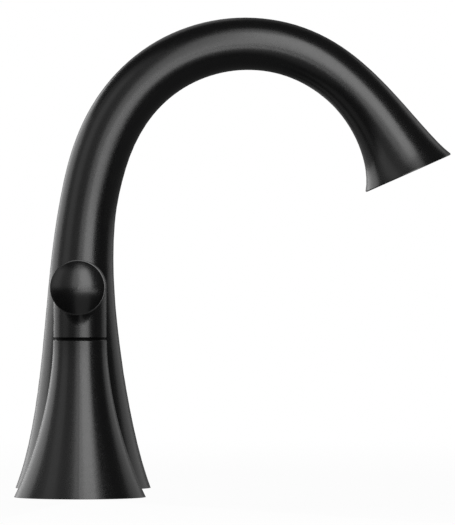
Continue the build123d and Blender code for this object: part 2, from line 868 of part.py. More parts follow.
    # Handle: domed hub and a trumpet lever blended into it
    dome_sphere = (lever_rim_radius**2 + lever_dome_height**2) / (2 * lever_dome_height)
    dome_angle = math.degrees(math.asin(lever_rim_radius / dome_sphere))
    dome_start = lever_rim_distance + lever_rim_width
    dome_centre = dome_start + lever_dome_height - dome_sphere
    socket_top = spline_top + socket_end_gap
    with BuildPart() as handle:
        with BuildSketch(section):
            with BuildLine():
                hub_dome = CenterArc((0, lever_height), hub_radius, 0, 90)
                Polyline(hub_dome @ 1, (0, hub_bottom), (hub_radius, hub_bottom), hub_dome @ 0)
            make_face()
        revolve(axis=valve_axis)
        chamfer(handle.edges().group_by(Axis.Z)[0], length=edge_break)
        with BuildSketch(section):
            with BuildLine():
                root_arc = TangentArc(
                    (lever_waist_distance, lever_height + lever_waist_radius),
                    (0, lever_height + lever_root_radius),
                    tangent=(-1, 0),
                )
                neck_arc = JernArc(root_arc @ 0, (1, 0), lever_flare_radius, lever_flare_turn)
                flare_arc = TangentArc(
                    neck_arc @ 1,
                    (lever_rim_distance, lever_height + lever_rim_radius),
                    tangent=neck_arc % 1,
                )
                dome_arc = CenterArc((dome_centre, lever_height), dome_sphere, 0, dome_angle)
                Line(flare_arc @ 1, dome_arc @ 1)
                Polyline(dome_arc @ 0, (0, lever_height), root_arc @ 1)
            make_face()
        revolve(axis=lever_axis)
        fillet(handle.edges(Select.NEW), radius=lever_blend_radius)
        with BuildSketch(level.offset(hub_bottom)):
            Circle(hub_recess_radius)
        extrude(amount=hub_recess_depth, mode=Mode.SUBTRACT)
        with BuildSketch(level.offset(hub_bottom)):
            Circle(spline_radius + push_clearance)
        extrude(amount=socket_top - hub_bottom, mode=Mode.SUBTRACT)
        with BuildSketch(screw_plane):
            Circle(handle_screw_radius)
        extrude(amount=hub_radius, mode=Mode.SUBTRACT)
    write_piece(handle, f"{side}_handle")

    with BuildPart() as handle_screw:
        with BuildSketch(screw_plane.offset(handle_screw_tip)):
            Circle(handle_screw_radius - thread_clearance)
        extrude(amount=hub_radius - handle_screw_recess - handle_screw_tip)
        with BuildSketch(screw_plane.offset(hub_radius - handle_screw_recess)):
            RegularPolygon(handle_screw_key / 2, 6, major_radius=False)
        extrude(amount=-handle_screw_key_depth, mode=Mode.SUBTRACT)
    write_piece(handle_screw, f"{side}_handle_set_screw")
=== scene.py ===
import math
from collections import namedtuple

import bmesh
import bpy
from mathutils import Matrix, Vector


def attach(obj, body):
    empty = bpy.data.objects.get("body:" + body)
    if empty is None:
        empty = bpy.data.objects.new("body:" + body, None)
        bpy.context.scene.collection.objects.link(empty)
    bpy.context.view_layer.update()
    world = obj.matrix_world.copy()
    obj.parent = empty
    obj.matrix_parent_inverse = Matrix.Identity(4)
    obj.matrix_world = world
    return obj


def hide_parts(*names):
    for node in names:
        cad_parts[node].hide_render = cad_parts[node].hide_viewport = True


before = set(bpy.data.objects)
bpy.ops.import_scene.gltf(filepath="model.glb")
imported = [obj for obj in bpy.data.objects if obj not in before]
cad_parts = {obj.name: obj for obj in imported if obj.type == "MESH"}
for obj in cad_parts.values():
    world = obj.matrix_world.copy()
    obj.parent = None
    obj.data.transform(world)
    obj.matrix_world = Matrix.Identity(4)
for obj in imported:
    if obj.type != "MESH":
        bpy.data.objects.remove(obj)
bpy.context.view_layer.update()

MM = 0.001

# The valves: each side's name, and the way along Y in which its lever points
VALVES = (("hot", -1), ("cold", 1))
VALVE_OFFSET = 101.6
LEVER_HEIGHT = 86.1


# Materials: the colour, the roughness and the relief of each come from noise

TINT_GRAINS = 12
ROUGHNESS_GRAINS = 4
NOISE_LOW = 0.3
NOISE_HIGH = 0.7


def finish(
    name, colours, roughness, grain, relief,
    metallic=0.0, stretch=(1, 1, 1), shine=0.5,
):
    """A material between two colours and two roughnesses, with grain and relief in mm."""
    material = bpy.data.materials.new(name)
    material.use_nodes = True
    nodes = material.node_tree.nodes
    link = material.node_tree.links.new
    shader = nodes["Principled BSDF"]
    shader.inputs["Metallic"].default_value = metallic
    shader.inputs["Specular IOR Level"].default_value = shine
    place = nodes.new("ShaderNodeTexCoord")
    mapping = nodes.new("ShaderNodeMapping")
    mapping.inputs["Scale"].default_value = stretch
    link(place.outputs["Object"], mapping.inputs["Vector"])

    def noise(size, detail):
        node = nodes.new("ShaderNodeTexNoise")
        node.inputs["Scale"].default_value = 1 / (size * MM)
        node.inputs["Detail"].default_value = detail
        link(mapping.outputs["Vector"], node.inputs["Vector"])
        return node.outputs["Fac"]

    tint = nodes.new("ShaderNodeMix")
    tint.data_type = "RGBA"
    link(noise(grain * TINT_GRAINS, detail=3), tint.inputs["Factor"])
    for socket, colour in zip(("A", "B"), colours):
        shown = [s for s in tint.inputs if s.name == socket and s.type == "RGBA"][0]
        shown.default_value = (*colour, 1)
    tinted = [s for s in tint.outputs if s.type == "RGBA"][0]
    link(tinted, shader.inputs["Base Color"])
    spread = nodes.new("ShaderNodeMapRange")
    spread.inputs["From Min"].default_value = NOISE_LOW
    spread.inputs["From Max"].default_value = NOISE_HIGH
    spread.inputs["To Min"].default_value = roughness[0]
    spread.inputs["To Max"].default_value = roughness[1]
    link(noise(grain * ROUGHNESS_GRAINS, detail=2), spread.inputs["Value"])
    link(spread.outputs["Result"], shader.inputs["Roughness"])
    bump = nodes.new("ShaderNodeBump")
    bump.inputs["Strength"].default_value = 1.0
    bump.inputs["Distance"].default_value = relief * MM
    link(noise(grain, detail=2), bump.inputs["Height"])
    link(bump.outputs["Normal"], shader.inputs["Normal"])
    return material


# By the name of the CAD's material slot
MATERIALS = {
    "black_finish": finish(
        "powder_coat", ((0.0022, 0.0022, 0.0023), (0.0034, 0.0034, 0.0035)),
        roughness=(0.25, 0.28), grain=0.5, relief=0.002,
    ),
    "brass": finish(
        "turned_brass", ((0.60, 0.40, 0.15), (0.70, 0.49, 0.21)),
        roughness=(0.18, 0.30), grain=0.3, relief=0.004, metallic=1.0, stretch=(0.1, 0.1, 1),
    ),
    "steel": finish(
        "stamped_steel", ((0.56, 0.56, 0.57), (0.66, 0.66, 0.67)),
        roughness=(0.28, 0.42), grain=0.4, relief=0.004, metallic=1.0, stretch=(1, 0.15, 1),
    ),
    "rubber": finish(
        "rubber", ((0.010, 0.010, 0.010), (0.016, 0.016, 0.016)),
        roughness=(0.6, 0.75), grain=0.4, relief=0.02, shine=0.2,
    ),
    # Black nylon, with its colour and its shine turned down as painted shade in the seam between
    # the hub and the skirt
    "nylon": finish(
        "nylon", ((0.0015, 0.0015, 0.0015), (0.0025, 0.0025, 0.0025)),
        roughness=(0.45, 0.55), grain=0.6, relief=0.01, shine=0.03,
    ),
    "ceramic": finish(
        "ceramic", ((0.86, 0.85, 0.81), (0.92, 0.91, 0.88)),
        roughness=(0.10, 0.16), grain=0.5, relief=0.001,
    ),
    "aerator_shell": finish(
        "moulded_shell", ((0.02, 0.02, 0.02), (0.03, 0.03, 0.03)),
        roughness=(0.4, 0.5), grain=0.5, relief=0.008,
    ),
    "aerator_insert": finish(
        "moulded_insert", ((0.42, 0.43, 0.44), (0.5, 0.51, 0.52)),
        roughness=(0.4, 0.5), grain=0.5, relief=0.008,
    ),
}

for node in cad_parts.values():
    for holder in node.material_slots:
        holder.material = MATERIALS[holder.material.name.split(".")[0]]
    node.data.polygons.foreach_set("use_smooth", [True] * len(node.data.polygons))


# Tools for turned pieces, in millimetres

SEGMENTS = 48
SCREW_SEGMENTS = 24
RIM_SEGMENTS = 96
SHARP_ANGLE = 24

# One turn of a thread, as parts of its pitch and of its depth, and where it starts to fade in
GROOVE = ((0.0, 0.0), (0.16, 0.0), (0.5, 1.0), (0.66, 1.0))
THREAD_START = 0.1

# Ends of a hexagon: how far the flat end stays inside the flats, how deep the turned edge starts
# at the middle of a flat, and how steeply it falls towards the corners
END_INSET = 0.35
END_DEPTH = 0.2
END_SLOPE = math.tan(math.radians(30))

Thread = namedtuple("Thread", "radius depth pitch")


class Turned:
    """A closed skin round the local Z axis through a profile of (radius, height) rings.

    A Thread between two rings of the profile is cut into the wall between them. A capped skin
    is closed by a face at either end, and any other runs from its last ring back to its first.
    """

    def __init__(self, profile, steps=SEGMENTS, capped=False):
        self.steps = steps
        self.points = []
        self.faces = []
        rings = []
        threads = {}
        for entry in profile:
            if isinstance(entry, Thread):
                threads[len(rings) - 1] = entry
            else:
                rings.append(self.ring(*entry))
        for index, ring in enumerate(rings[:-1] if capped else rings):
            after = rings[(index + 1) % len(rings)]
            if index in threads:
                below, above = sorted((ring, after), key=self.height)
                self.thread(below, above, *threads[index])
            else:
                self.join(ring, after)
        if capped:
            self.faces += [tuple(rings[0]), tuple(rings[-1])]

    def height(self, ring):
        return self.points[ring[0]][2]

    def ring(self, radius, height):
        """Adds a ring, whose radius and height may be functions of the angle."""
        first = len(self.points)
        for step in range(self.steps):
            angle = math.tau * step / self.steps
            out = radius(angle) if callable(radius) else radius
            up = height(angle) if callable(height) else height
            self.points.append((out * math.cos(angle), out * math.sin(angle), up))
        return list(range(first, first + self.steps))

    def join(self, below, above):
        for step in range(self.steps):
            after = (step + 1) % self.steps
            self.faces.append((below[step], below[after], above[after], above[step]))

    def thread(self, below, above, radius, depth, pitch):
        """Joins two rings by a right-handed thread; a depth below zero is cut outwards."""
        low = self.height(below)
        high = self.height(above)
        first = low + THREAD_START * pitch
        turn = len(GROOVE)
        rows = int(((high - first) / pitch - THREAD_START - 1) * turn)

        # Columns of points, each a step further up; the first is a turn longer than the rest
        columns = []
        for step in range(self.steps):
            angle = math.tau * step / self.steps
            column = []
            for row in range(rows + 1 + (turn if step == 0 else 0)):
                offset, cut = GROOVE[row % turn]
                height = first + pitch * (row // turn + offset + step / self.steps)
                ends = min(height - low, high - height) / pitch
                out = radius - depth * cut * min(max(ends - THREAD_START, 0.0), 1.0)
                column.append(len(self.points))
                self.points.append((out * math.cos(angle), out * math.sin(angle), height))
            columns.append(column)

        # The first column's upper part also stands after the last column
        seam = columns[0]
        columns.append(seam[turn:])
        for step in range(self.steps):
            left, right = columns[step], columns[step + 1]
            after = (step + 1) % self.steps
            for row in range(rows):
                self.faces.append((left[row], right[row], right[row + 1], left[row + 1]))
            self.faces.append((below[step], below[after], columns[after][0], left[0]))
            self.faces.append((left[len(left) - 1], right[rows], above[after], above[step]))

        # Triangles that close the thread's two ends at the seam
        last = columns[self.steps - 1][0]
        second = columns[1][rows]
        for row in range(turn):
            self.faces.append((last, seam[row], seam[row + 1]))
            self.faces.append((seam[rows + row], second, seam[rows + row + 1]))


def hexagon(flats, turn):
    """Radius of a hexagon at an angle, with a corner at turn degrees."""
    def radius(angle):
        within = (angle - math.radians(turn)) % (math.pi / 3) - math.pi / 6
        return flats / 2 / math.cos(within)
    return radius


def hexagon_profile(flats, turn, low, high, top=True):
    """Rings up the outside of a hexagon with a turned bottom and, if top says so, a turned top."""
    outline = hexagon(flats, turn)

    def edge(height, way):
        return lambda angle: height - way * (END_DEPTH + (outline(angle) - flats / 2) * END_SLOPE)

    face = flats / 2 - END_INSET
    bottom_rings = [(face, low), (outline, edge(low, -1))]
    top_rings = [(outline, edge(high, 1)), (face, high)] if top else [(outline, high)]
    return bottom_rings + top_rings


def piece_of(name, skins, slot, body, node=None):
    """One mesh object made of (skin, place) pairs, that may stand for a CAD node."""
    mesh = bpy.data.meshes.new(name)
    shape = bmesh.new()
    for skin, place in skins:
        corners = [shape.verts.new(place @ (Vector(point) * MM)) for point in skin.points]
        for face in skin.faces:
            shape.faces.new([corners[index] for index in face])
    bmesh.ops.recalc_face_normals(shape, faces=shape.faces[:])
    shape.to_mesh(mesh)
    shape.free()
    mesh.materials.append(MATERIALS[slot])
    mesh.polygons.foreach_set("use_smooth", [True] * len(mesh.polygons))
    mesh.set_sharp_from_angle(angle=math.radians(SHARP_ANGLE))
    thing = bpy.data.objects.new(name, mesh)
    bpy.context.scene.collection.objects.link(thing)
    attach(thing, body)
    if node:
        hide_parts(node)


def placed(x, y, z, angle, axis):
    """A place in millimetres, turned by an angle in radians round one axis."""
    return Matrix.Translation(Vector((x, y, z)) * MM) @ Matrix.Rotation(angle, 4, axis)


def standing(offset):
    """The upright place on the axis of the spout or of a valve."""
    return Matrix.Translation((0, offset * MM, 0))


# Threads, and the radius to which the ends of the outer ones are turned down

INLET = Thread(radius=10.45, depth=1.1, pitch=1.814)
INLET_ROOT = 9.2
HOSE = Thread(radius=7.14, depth=0.8, pitch=1.411)
HOSE_ROOT = 6.3
DECK = Thread(radius=14.0, depth=0.85, pitch=1.5)
DECK_ROOT = 13.4
NECK = Thread(radius=10.5, depth=0.6, pitch=1.0)
NECK_ROOT = 9.7
SCREW = Thread(radius=1.95, depth=0.35, pitch=0.7)
TEE_BORE = Thread(radius=10.5, depth=-1.1, pitch=INLET.pitch)
SPOUT_NUT_BORE = Thread(radius=10.5, depth=-0.9, pitch=INLET.pitch)
VALVE_NUT_BORE = Thread(radius=14.05, depth=-0.9, pitch=DECK.pitch)
TOP_NUT_BORE = Thread(radius=14.05, depth=-0.8, pitch=DECK.pitch)
BONNET_BORE = Thread(radius=8.25, depth=-0.5, pitch=NECK.pitch)

LEAD_IN = 1.2
CHAMFER = 0.8


# Hose ports

PORT_RADIUS = 9.0
PORT_EDGE = 0.4
PORT_BORE = 3.6
PORT_LEAD_IN = 1.0


def hose_port(start, shoulder_end, reach):
    """Hose port along the local Z axis: a round shoulder, a threaded end and the bore."""
    return Turned([
        (PORT_RADIUS, start),
        (PORT_RADIUS, shoulder_end - PORT_EDGE),
        (PORT_RADIUS - PORT_EDGE, shoulder_end),
        (HOSE_ROOT, shoulder_end),
        (HOSE_ROOT, shoulder_end + CHAMFER),
        (HOSE.radius, shoulder_end + 2 * CHAMFER),
        HOSE,
        (HOSE.radius, reach - PORT_LEAD_IN),
        (HOSE_ROOT, reach),
        (PORT_BORE + CHAMFER, reach),
        (PORT_BORE, reach - CHAMFER),
        (PORT_BORE, start),
    ])


def port_place(centre, turn, way):
    """Puts the local Z axis along a port, turned from way along Y by turn degrees towards -X."""
    ahead = Vector((-math.sin(math.radians(turn)), way * math.cos(math.radians(turn)), 0))
    across = Vector((0, 0, 1))
    axes = Matrix((across, ahead.cross(across), ahead)).transposed().to_4x4()
    return Matrix.Translation(Vector(centre) * MM) @ axes


# Spout shank: a thread, a hexagon collar and a second thread up into the bell

SHANK_BOTTOM = -56.0
SHANK_TOP = 42.0
SHANK_BORE = 6.0
COLLAR_BOTTOM = 22.0
COLLAR_TOP = 28.0
COLLAR_FLATS = 27.0
PLAIN_BELOW = 0.2
PLAIN_ABOVE = 0.6

shank = Turned([
    (INLET_ROOT, SHANK_BOTTOM),
    (INLET.radius, SHANK_BOTTOM + LEAD_IN),
    INLET,
    (INLET.radius, COLLAR_BOTTOM - PLAIN_BELOW - LEAD_IN),
    (INLET_ROOT, COLLAR_BOTTOM - PLAIN_BELOW),
    (INLET_ROOT, COLLAR_BOTTOM),
    *hexagon_profile(COLLAR_FLATS, 0, COLLAR_BOTTOM, COLLAR_TOP),
    (INLET_ROOT, COLLAR_TOP),
    (INLET_ROOT, COLLAR_TOP + PLAIN_ABOVE),
    (INLET.radius, COLLAR_TOP + PLAIN_ABOVE + LEAD_IN),
    INLET,
    (INLET.radius, SHANK_TOP - LEAD_IN),
    (INLET_ROOT, SHANK_TOP),
    (SHANK_BORE + CHAMFER, SHANK_TOP),
    (SHANK_BORE, SHANK_TOP - CHAMFER),
    (SHANK_BORE, SHANK_BOTTOM + CHAMFER),
    (SHANK_BORE + CHAMFER, SHANK_BOTTOM),
])
piece_of("threaded_shank", [(shank, standing(0))], "brass", "body", "spout_shank")


# Tee on the shank's end: a round body with a groove near its top, a threaded socket in its top
# and two ports

TEE_RADIUS = 14.5
TEE_BOTTOM = -72.0
TEE_TOP = -44.0
TEE_EDGE = 0.6
TEE_GROOVE = 13.9
TEE_GROOVE_BOTTOM = -46.0
TEE_GROOVE_TOP = -45.4
TEE_GROOVE_EDGE = 0.4
SOCKET_EDGE = 0.4
SOCKET_BOTTOM = -58.0
SOCKET_CONE = 0.1
TEE_PORT_HEIGHT = -62.0
TEE_PORT_TURN = 30.0

tee = Turned([
    (TEE_RADIUS - CHAMFER, TEE_BOTTOM),
    (TEE_RADIUS, TEE_BOTTOM + CHAMFER),
    (TEE_RADIUS, TEE_GROOVE_BOTTOM - TEE_GROOVE_EDGE),
    (TEE_GROOVE, TEE_GROOVE_BOTTOM),
    (TEE_GROOVE, TEE_GROOVE_TOP),
    (TEE_RADIUS, TEE_GROOVE_TOP + TEE_GROOVE_EDGE),
    (TEE_RADIUS, TEE_TOP - TEE_EDGE),
    (TEE_RADIUS - TEE_EDGE, TEE_TOP),
    (TEE_BORE.radius + SOCKET_EDGE, TEE_TOP),
    (TEE_BORE.radius, TEE_TOP - TEE_EDGE),
    TEE_BORE,
    (TEE_BORE.radius, SOCKET_BOTTOM + SOCKET_CONE),
    (SHANK_BORE, SOCKET_BOTTOM),
    (SHANK_BORE, TEE_PORT_HEIGHT),
], capped=True)
tee_port = hose_port(start=12.6, shoulder_end=17.5, reach=34.0)
ports = [
    (tee_port, port_place((0, 0, TEE_PORT_HEIGHT), TEE_PORT_TURN, way)) for way in (-1, 1)
]
piece_of("threaded_tee", [(tee, standing(0)), *ports], "brass", "body", "spout_inlet_tee")


# Nuts under the deck

NUT_BOTTOM = -36.0
NUT_TOP = -26.0
NUT_LIP = 1.0
FLANGE_BOTTOM = -28.0
FLANGE_MARGIN = 1.2
FLANGE_STEP = 0.5
FLANGE_RISE = 0.4
FLANGE_EDGE = 0.3
SPOUT_NUT_FLATS = 32.0
VALVE_NUT_FLATS = 36.0


def flanged_nut(bore, flats, turn):
    """Nut with a round flange on top, chamfered corners below and a thread in its bore."""
    flange = flats / 2 / math.cos(math.pi / 6) + FLANGE_MARGIN
    return Turned([
        *hexagon_profile(flats, turn, NUT_BOTTOM, FLANGE_BOTTOM, top=False),
        (flange - FLANGE_STEP, FLANGE_BOTTOM),
        (flange, FLANGE_BOTTOM + FLANGE_RISE),
        (flange, NUT_TOP - FLANGE_EDGE),
        (flange - FLANGE_EDGE, NUT_TOP),
        (bore.radius + NUT_LIP, NUT_TOP),
        (bore.radius, NUT_TOP - CHAMFER),
        bore,
        (bore.radius, NUT_BOTTOM + CHAMFER),
        (bore.radius + NUT_LIP, NUT_BOTTOM),
    ])


spout_nut = flanged_nut(SPOUT_NUT_BORE, SPOUT_NUT_FLATS, 0)
piece_of("spout_threaded_nut", [(spout_nut, standing(0))], "brass", "body", "spout_mounting_nut")


# Valve body: an inlet nipple, wrench flats, the thread that goes through the deck, a collar, a
# threaded neck, and inside it the bonnet's thread, the discs' chamber and seat, and the bore

VALVE_BOTTOM = -78.0
VALVE_EDGE = 0.6
NIPPLE_TOP = -59.0
NIPPLE_NECK = 9.3
NIPPLE_LEAD_IN = 1.0
WRENCH_BOTTOM = -58.0
WRENCH_TOP = -52.0
WRENCH_FLATS = 24.0
DECK_FOOT = 13.86
DECK_FOOT_RISE = 0.02
DECK_START = 1.1
COLLAR_RADIUS = 13.0
COLLAR_EDGE = 0.5
VALVE_COLLAR_BOTTOM = 10.0
VALVE_COLLAR_TOP = 30.0
NECK_LEAD_IN = 1.0
NECK_TOP = 43.4
BONNET_MOUTH = 8.9
CHAMBER_RADIUS = 10.0
CHAMBER_TOP = 28.0
CHAMBER_BOTTOM = 12.0
SEAT_RADIUS = 6.85
SEAT_TOP = 14.0
VALVE_BORE = 5.0
VALVE_PORT_HEIGHT = -45.5
VALVE_PORT_TURN = 45.0

valve = Turned([
    (INLET_ROOT, VALVE_BOTTOM),
    (INLET.radius, VALVE_BOTTOM + LEAD_IN),
    INLET,
    (INLET.radius, NIPPLE_TOP - NIPPLE_LEAD_IN),
    (NIPPLE_NECK, NIPPLE_TOP),
    (NIPPLE_NECK, WRENCH_BOTTOM),
    *hexagon_profile(WRENCH_FLATS, 30, WRENCH_BOTTOM, WRENCH_TOP, top=False),
    (DECK_FOOT, WRENCH_TOP + DECK_FOOT_RISE),
    (DECK.radius, WRENCH_TOP + DECK_START),
    DECK,
    (DECK.radius, VALVE_COLLAR_BOTTOM - VALVE_EDGE),
    (DECK_ROOT, VALVE_COLLAR_BOTTOM),
    (COLLAR_RADIUS, VALVE_COLLAR_BOTTOM),
    (COLLAR_RADIUS, VALVE_COLLAR_TOP - COLLAR_EDGE),
    (COLLAR_RADIUS - COLLAR_EDGE, VALVE_COLLAR_TOP),
    (NECK_ROOT, VALVE_COLLAR_TOP),
    (NECK_ROOT, VALVE_COLLAR_TOP + CHAMFER),
    (NECK.radius, VALVE_COLLAR_TOP + CHAMFER + NECK_LEAD_IN),
    NECK,
    (NECK.radius, NECK_TOP - CHAMFER),
    (NECK_ROOT, NECK_TOP),
    (BONNET_MOUTH, NECK_TOP),
    (BONNET_BORE.radius, NECK_TOP - VALVE_EDGE),
    BONNET_BORE,
    (BONNET_BORE.radius, CHAMBER_TOP),
    (CHAMBER_RADIUS, CHAMBER_TOP),
    (CHAMBER_RADIUS, CHAMBER_BOTTOM),
    (SEAT_RADIUS, CHAMBER_BOTTOM),
    (SEAT_RADIUS, SEAT_TOP),
    (VALVE_BORE, SEAT_TOP),
    (VALVE_BORE, VALVE_BOTTOM + VALVE_EDGE),
    (VALVE_BORE + VALVE_EDGE, VALVE_BOTTOM),
])
valve_port = hose_port(start=9.2, shoulder_end=17.0, reach=36.0)
valve_nut = flanged_nut(VALVE_NUT_BORE, VALVE_NUT_FLATS, 30)


# Nut on top of the deck

TOP_NUT_BOTTOM = 1.6
TOP_NUT_TOP = 6.6
TOP_NUT_EDGE = 0.7
TOP_NUT_MOUTH = 14.9

top_nut = Turned([
    *hexagon_profile(VALVE_NUT_FLATS, 30, TOP_NUT_BOTTOM, TOP_NUT_TOP),
    (TOP_NUT_MOUTH, TOP_NUT_TOP),
    (TOP_NUT_BORE.radius, TOP_NUT_TOP - TOP_NUT_EDGE),
    TOP_NUT_BORE,
    (TOP_NUT_BORE.radius, TOP_NUT_BOTTOM + TOP_NUT_EDGE),
    (TOP_NUT_MOUTH, TOP_NUT_BOTTOM),
])


# Set screw in the hub's side, whose local Z axis points along -X to its hexagon socket

SCREW_START = -3.3
SCREW_HEIGHT = 72.0
SCREW_LENGTH = 6.95
SCREW_TIP = 1.2
SCREW_POINT = 0.7
SCREW_EDGE = 0.3
SOCKET_FLATS = 2.0
SOCKET_RIM = 1.3
SOCKET_CHAMFER = 0.25
SOCKET_DEPTH = 2.5

socket = hexagon(SOCKET_FLATS, 0)
screw = Turned([
    (SCREW_TIP, 0.0),
    (SCREW.radius, SCREW_POINT),
    SCREW,
    (SCREW.radius, SCREW_LENGTH - SCREW_EDGE),
    (SCREW.radius - SCREW_EDGE, SCREW_LENGTH),
    (SOCKET_RIM, SCREW_LENGTH),
    (socket, SCREW_LENGTH - SOCKET_CHAMFER),
    (socket, SCREW_LENGTH - SOCKET_DEPTH),
], SCREW_SEGMENTS, capped=True)

for side, way in VALVES:
    offset = way * VALVE_OFFSET
    axis = standing(offset)
    port_axis = port_place((0, offset, VALVE_PORT_HEIGHT), VALVE_PORT_TURN, -way)
    screw_axis = placed(SCREW_START, offset, SCREW_HEIGHT, -math.pi / 2, "Y")
    piece_of(
        f"{side}_threaded_valve", [(valve, axis), (valve_port, port_axis)], "brass", "body",
        f"{side}_valve_body",
    )
    piece_of(
        f"{side}_threaded_nut", [(valve_nut, axis)], "brass", "body", f"{side}_mounting_nut"
    )
    piece_of(f"{side}_deck_nut", [(top_nut, axis)], "brass", "body", f"{side}_top_nut")
    piece_of(
        f"{side}_socket_screw", [(screw, screw_axis)], "steel", f"{side}_handle",
        f"{side}_handle_set_screw",
    )


# Rolled rim round each lever's disc, with its local Z axis out along the lever

LEVER_REACH = 65.0
RIM_INNER = 10.2
RIM_MIDDLE = 10.7
RIM_RADIUS = 11.1

rim = Turned([
    (RIM_INNER, LEVER_REACH - 0.1),
    (RIM_MIDDLE, LEVER_REACH - 0.15),
    (RIM_RADIUS - 0.08, LEVER_REACH),
    (RIM_RADIUS, LEVER_REACH + 0.2),
    (RIM_RADIUS, LEVER_REACH + 0.5),
    (RIM_RADIUS - 0.1, LEVER_REACH + 0.7),
    (RIM_MIDDLE + 0.05, LEVER_REACH + 0.8),
    (RIM_INNER, LEVER_REACH + 0.85),
], RIM_SEGMENTS)
for side, way in VALVES:
    lever_axis = placed(0, way * VALVE_OFFSET, LEVER_HEIGHT, way * -math.pi / 2, "X")
    piece_of(f"{side}_lever_rim", [(rim, lever_axis)], "black_finish", f"{side}_handle")


# Narrow lip round the spout's outlet, on the outlet plane with its local Z axis pointing out

OUTLET_CENTRE = (138.6, 0, 134.4)
OUTLET_HEADING = -66.1
LIP_INNER = 18.7
LIP_OUTER = 19.7

lip = Turned([
    (LIP_INNER, -0.2),
    (LIP_OUTER, -0.2),
    (LIP_OUTER, 0.3),
    (LIP_OUTER - 0.1, 0.4),
    (LIP_OUTER - 0.4, 0.45),
    (LIP_INNER + 0.25, 0.3),
    (LIP_INNER, 0.0),
], RIM_SEGMENTS)
outlet_axis = placed(*OUTLET_CENTRE, math.radians(90 - OUTLET_HEADING), "Y")
piece_of("outlet_lip", [(lip, outlet_axis)], "black_finish", "body")


# Camera, measured from the photograph: nearly level, 2.6 m in front of the spout's plane

IMAGE_HEIGHT = 525
FOCAL_PIXELS = 6096.0
SENSOR_WIDTH = 36.0
CLIP_START = 0.05
CLIP_END = 50.0
CAMERA_PLACE = (0.0336, -2.6, 0.0975)
CAMERA_YAW = 0.616
CAMERA_PITCH = -0.033

scene = bpy.context.scene
lens = bpy.data.cameras.new("camera")
lens.sensor_width = SENSOR_WIDTH
lens.lens = FOCAL_PIXELS * lens.sensor_width / IMAGE_HEIGHT
lens.clip_start = CLIP_START
lens.clip_end = CLIP_END
camera = bpy.data.objects.new("camera", lens)
camera.location = CAMERA_PLACE
camera.rotation_euler = (math.radians(90 + CAMERA_PITCH), 0, math.radians(-CAMERA_YAW))
scene.collection.objects.link(camera)
scene.camera = camera
scene.view_settings.view_transform = "Standard"


# Floor and world: white to the eye, while the object gets its light from paper and a dim room

def seen_rays(tree):
    """1 for what the camera, mirrors and glass see, and 0 for what lights the object."""
    path = tree.nodes.new("ShaderNodeLightPath")
    seen = path.outputs["Is Camera Ray"]
    for kind in ("Is Glossy Ray", "Is Transmission Ray"):
        either = tree.nodes.new("ShaderNodeMath")
        either.operation = "MAXIMUM"
        tree.links.new(seen, either.inputs[0])
        tree.links.new(path.outputs[kind], either.inputs[1])
        seen = either.outputs[0]
    return seen


def mixed(tree, amount, plain, white, target):
    """Feeds the target with the plain shader where the amount is 0, and the white one at 1."""
    mix = tree.nodes.new("ShaderNodeMixShader")
    tree.links.new(amount, mix.inputs[0])
    tree.links.new(plain.outputs[0], mix.inputs[1])
    tree.links.new(white.outputs[0], mix.inputs[2])
    tree.links.new(mix.outputs[0], target)


# The floor shows SHADOW_SHARE of its shadow up to SHADOW_NEAR metres from the spout's axis, and
# nothing of it from SHADOW_FAR metres on
FLOOR_SIZE = 40.0
FLOOR_HEIGHT = -0.0002
PAPER_COLOUR = (0.85, 0.85, 0.85, 1)
PAPER_ROUGHNESS = 0.9
SHADOW_SHARE = 0.035
SHADOW_NEAR = 0.2
SHADOW_FAR = 0.7

paper = bpy.data.materials.new("paper")
paper.use_nodes = True
tree = paper.node_tree
sheet = tree.nodes["Principled BSDF"]
sheet.inputs["Base Color"].default_value = PAPER_COLOUR
sheet.inputs["Roughness"].default_value = PAPER_ROUGHNESS
glow = tree.nodes.new("ShaderNodeEmission")
spot = tree.nodes.new("ShaderNodeTexCoord")
reach = tree.nodes.new("ShaderNodeVectorMath")
reach.operation = "LENGTH"
tree.links.new(spot.outputs["Object"], reach.inputs[0])
fade = tree.nodes.new("ShaderNodeMapRange")
fade.inputs["From Min"].default_value = SHADOW_NEAR
fade.inputs["From Max"].default_value = SHADOW_FAR
fade.inputs["To Min"].default_value = 1 - SHADOW_SHARE
fade.inputs["To Max"].default_value = 1.0
tree.links.new(reach.outputs["Value"], fade.inputs["Value"])
share = tree.nodes.new("ShaderNodeMath")
share.operation = "MULTIPLY"
tree.links.new(seen_rays(tree), share.inputs[0])
tree.links.new(fade.outputs["Result"], share.inputs[1])
mixed(tree, share.outputs[0], sheet, glow, tree.nodes["Material Output"].inputs["Surface"])

floor_mesh = bpy.data.meshes.new("floor")
half = FLOOR_SIZE / 2
floor_corners = [(-half, -half), (half, -half), (half, half), (-half, half)]
floor_mesh.from_pydata([(*corner, FLOOR_HEIGHT) for corner in floor_corners], [], [(0, 1, 2, 3)])
floor_mesh.materials.append(paper)
floor = bpy.data.objects.new("floor", floor_mesh)
scene.collection.objects.link(floor)

WHITE = (1, 1, 1, 1)
ROOM_LIGHT = 0.25

world = bpy.data.worlds.new("studio")
scene.world = world
world.use_nodes = True
tree = world.node_tree
dim = tree.nodes["Background"]
dim.inputs["Color"].default_value = WHITE
dim.inputs["Strength"].default_value = ROOM_LIGHT
bright = tree.nodes.new("ShaderNodeBackground")
bright.inputs["Color"].default_value = WHITE
bright.inputs["Strength"].default_value = 1.0
mixed(tree, seen_rays(tree), dim, bright, tree.nodes["World Output"].inputs["Surface"])


# Softboxes, by the part of the room that each fills as the object sees it: left and right ends in
# degrees to the right of the camera, lower and upper ends in degrees, distance, radiance

